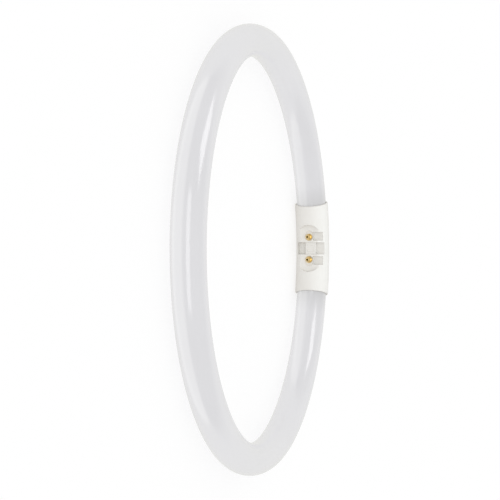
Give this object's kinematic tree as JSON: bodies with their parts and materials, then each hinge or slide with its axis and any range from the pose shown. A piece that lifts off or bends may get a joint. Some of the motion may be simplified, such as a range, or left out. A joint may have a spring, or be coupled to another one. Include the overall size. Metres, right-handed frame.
{
  "type": "circular led tube",
  "caption": "Ring-shaped opal lamp tube whose ends meet in a curved plug-in cap with two gold contact pins, with a light strip inside the tube and its driver in the cap.",
  "frame": {"origin": "centre of the ring, half-way up the tube", "axes": "+Z along the ring's axis, up from the surface it lies on; +X from the ring's centre to the cap; +Y along the tube at the cap"},
  "size_m": [0.2311, 0.23, 0.0188],
  "materials": {
    "opal_glass": "opal white, glossy",
    "cap_plastic": "warm white moulded plastic, satin",
    "pin_brass": "turned, bright gold",
    "strip_film": "white solder mask on a flexible board",
    "led_frame": "white moulded frame",
    "led_phosphor": "yellow phosphor filling",
    "board_laminate": "green laminate",
    "package_black": "black moulding compound",
    "varistor_coating": "blue dipped coating",
    "can_sleeve": "dark shrink sleeve",
    "choke_ferrite": "dark ferrite drum",
    "fuse_lacquer": "grey green lacquer",
    "lead_red": "red insulation",
    "lead_black": "black insulation"
  },
  "bodies": {
    "root": {"opal_tube": "opal_glass", "cap_inner_shell": "cap_plastic", "cap_outer_shell": "cap_plastic", "contact_pin_upper": "pin_brass", "contact_pin_lower": "pin_brass", "led_strip": "strip_film", "led_housings": "led_frame", "led_phosphor": "led_phosphor", "driver_board": "board_laminate", "bridge_rectifier": "package_black", "surge_varistor": "varistor_coating", "smoothing_capacitor": "can_sleeve", "filter_choke": "choke_ferrite", "driver_chip": "package_black", "fuse_resistor": "fuse_lacquer", "positive_lead": "lead_red", "negative_lead": "lead_black"}
  },
  "joints": []
}
